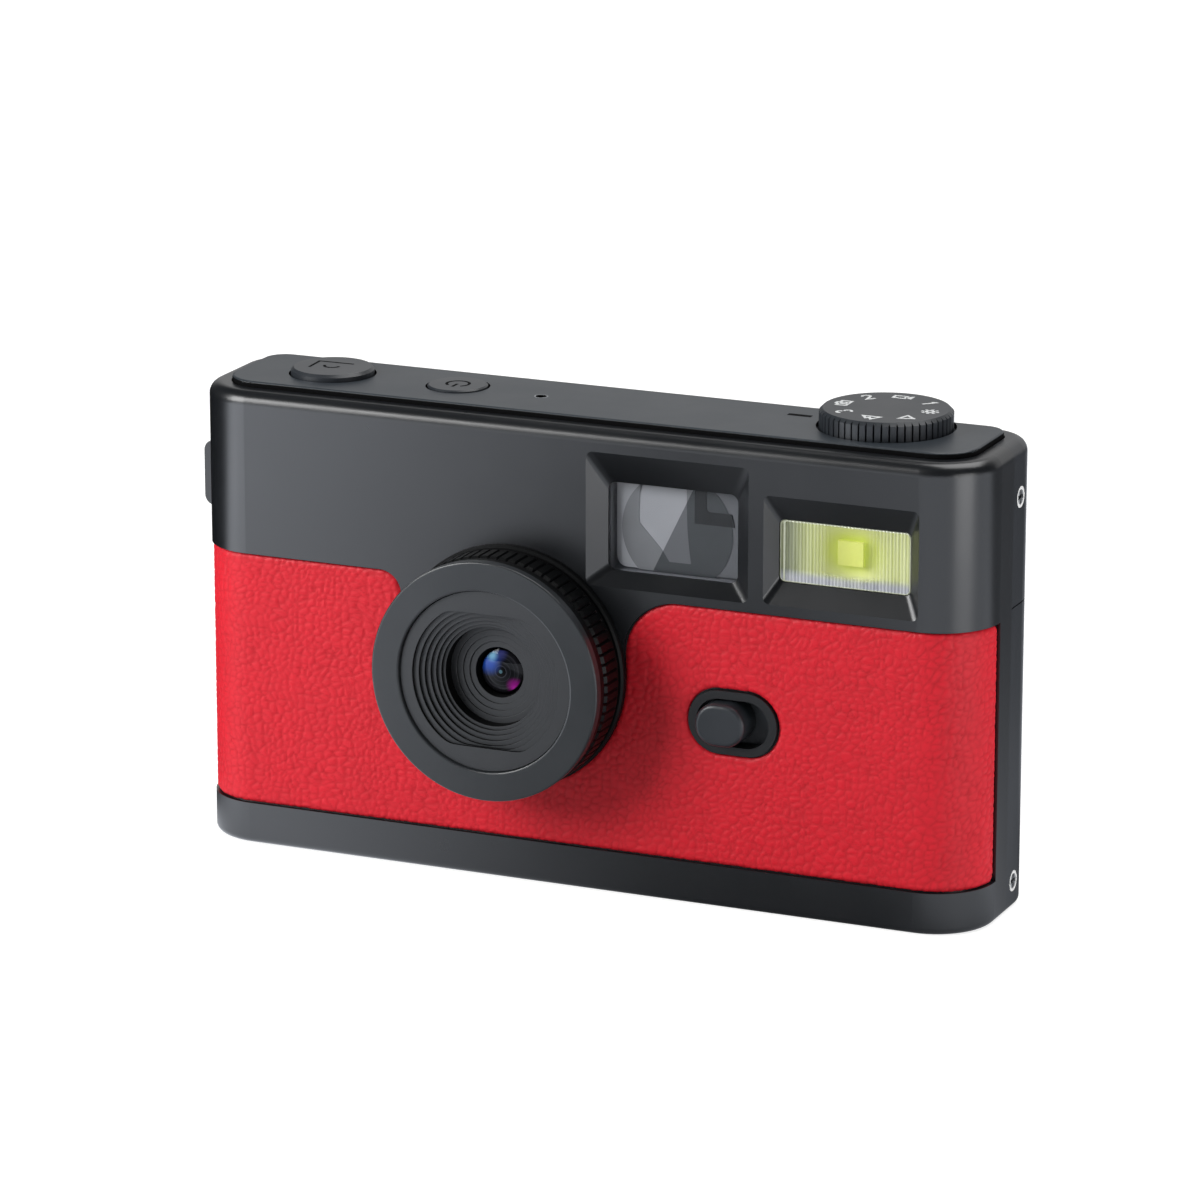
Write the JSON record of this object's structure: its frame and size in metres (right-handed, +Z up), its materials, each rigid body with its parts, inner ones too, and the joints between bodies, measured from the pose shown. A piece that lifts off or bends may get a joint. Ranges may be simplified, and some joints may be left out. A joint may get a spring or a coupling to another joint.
{
  "type": "retro digital camera",
  "caption": "Flat compact digital camera with a front leather panel, knurled lens ring, viewfinder, flash, mode dial, buttons, rear display and a hinged battery door.",
  "frame": {"origin": "middle of the casing's footprint on its flat base", "axes": "+Z up, +X along the width towards the flash end, -Y the way the lens looks"},
  "size_m": [0.1205, 0.0342, 0.0694],
  "materials": {
    "casing": "satin moulded",
    "plate": "satin moulded",
    "leather": "pebble grain",
    "trim": "satin",
    "control": "satin",
    "dial": "knurled edge",
    "lens_plastic": "satin",
    "knurled_plastic": "knurled",
    "baffle": "matt",
    "inner_plastic": "matt",
    "lens_glass": "coated",
    "window_glass": "clear",
    "screen_glass": "glossy",
    "flash_lens": "ribbed",
    "filter": "clear",
    "emitter": "phosphor",
    "reflector": "bright",
    "board": "solder mask",
    "chip": "smooth",
    "display": "smooth",
    "battery": "wrapped",
    "metal_can": "pressed",
    "steel": "turned",
    "bright_steel": "bright",
    "brass": "turned"
  },
  "bodies": {
    "casing": {"front_shell": "casing", "rear_upper_cover": "casing", "rear_lower_cover": "casing", "top_plate": "plate", "front_leather": "leather", "strap_lug": "trim", "side_screws": "bright_steel", "board_screws": "steel", "door_hinge_pin": "steel", "lens_base_flange": "lens_plastic", "lens_barrel": "lens_plastic", "lens_front_ring": "lens_plastic", "light_baffle": "baffle", "front_glass": "lens_glass", "lens_cell": "baffle", "rear_glass": "lens_glass", "sensor_holder": "inner_plastic", "infrared_filter": "filter", "image_sensor": "chip", "sensor_board": "board", "viewfinder_window": "window_glass", "viewfinder_tunnel": "inner_plastic", "eyepiece_glass": "window_glass", "eyepiece_frame": "trim", "flash_window": "flash_lens", "flash_emitter": "emitter", "flash_reflector": "reflector", "flash_board": "board", "slider_frame": "trim", "slide_switch": "metal_can", "button_board": "board", "tact_switches": "metal_can", "microphone": "metal_can", "dial_encoder": "metal_can", "dial_board": "board", "main_board": "board", "shield_can": "metal_can", "speaker": "metal_can", "display_module": "display", "display_glass": "screen_glass", "key_board": "board", "key_domes": "steel", "usb_socket": "metal_can", "card_socket": "metal_can", "battery": "battery", "battery_holder": "inner_plastic", "battery_contacts": "brass", "tripod_insert": "brass"},
    "focus_ring": {"focus_ring": "knurled_plastic"},
    "slider": {"slider_knob": "control"},
    "shutter": {"shutter_button": "control"},
    "power": {"power_button": "control"},
    "dial": {"mode_dial": "dial", "dial_shaft": "steel"},
    "door": {"battery_door": "casing"},
    "menu": {"menu_key": "control"},
    "play": {"play_key": "control"},
    "up": {"up_key": "control"},
    "ok": {"ok_key": "control"},
    "down": {"down_key": "control"}
  },
  "joints": [
    {"name": "focus_ring_turn", "type": "hinge", "parent": "casing", "child": "focus_ring", "pos_m": [-0.00933, -0.012, 0.0312], "axis": [0, -1, 0], "range_deg": [-45, 45]},
    {"name": "slider_slide", "type": "slide", "parent": "casing", "child": "slider", "axis": [1, 0, 0], "range_m": [0, 0.0026]},
    {"name": "shutter_press", "type": "slide", "parent": "casing", "child": "shutter", "axis": [0, 0, -1], "range_m": [0, 0.0008], "stiffness_N_per_m": 400, "springref_m": -0.0005},
    {"name": "power_press", "type": "slide", "parent": "casing", "child": "power", "axis": [0, 0, -1], "range_m": [0, 0.0003], "stiffness_N_per_m": 400, "springref_m": -0.0003},
    {"name": "dial_turn", "type": "hinge", "parent": "casing", "child": "dial", "pos_m": [0.04, 0.0028, 0.06685], "axis": [0, 0, 1], "continuous": true},
    {"name": "door_swing", "type": "hinge", "parent": "casing", "child": "door", "pos_m": [-0.0199, -0.004, 0.00135], "axis": [0, -1, 0], "range_deg": [0, 100]},
    {"name": "menu_press", "type": "slide", "parent": "casing", "child": "menu", "axis": [0, -1, 0], "range_m": [0, 0.0003], "stiffness_N_per_m": 300, "springref_m": -0.0003},
    {"name": "play_press", "type": "slide", "parent": "casing", "child": "play", "axis": [0, -1, 0], "range_m": [0, 0.0003], "stiffness_N_per_m": 300, "springref_m": -0.0003},
    {"name": "up_press", "type": "slide", "parent": "casing", "child": "up", "axis": [0, -1, 0], "range_m": [0, 0.0003], "stiffness_N_per_m": 300, "springref_m": -0.0003},
    {"name": "ok_press", "type": "slide", "parent": "casing", "child": "ok", "axis": [0, -1, 0], "range_m": [0, 0.0003], "stiffness_N_per_m": 300, "springref_m": -0.0003},
    {"name": "down_press", "type": "slide", "parent": "casing", "child": "down", "axis": [0, -1, 0], "range_m": [0, 0.0003], "stiffness_N_per_m": 300, "springref_m": -0.0003}
  ]
}
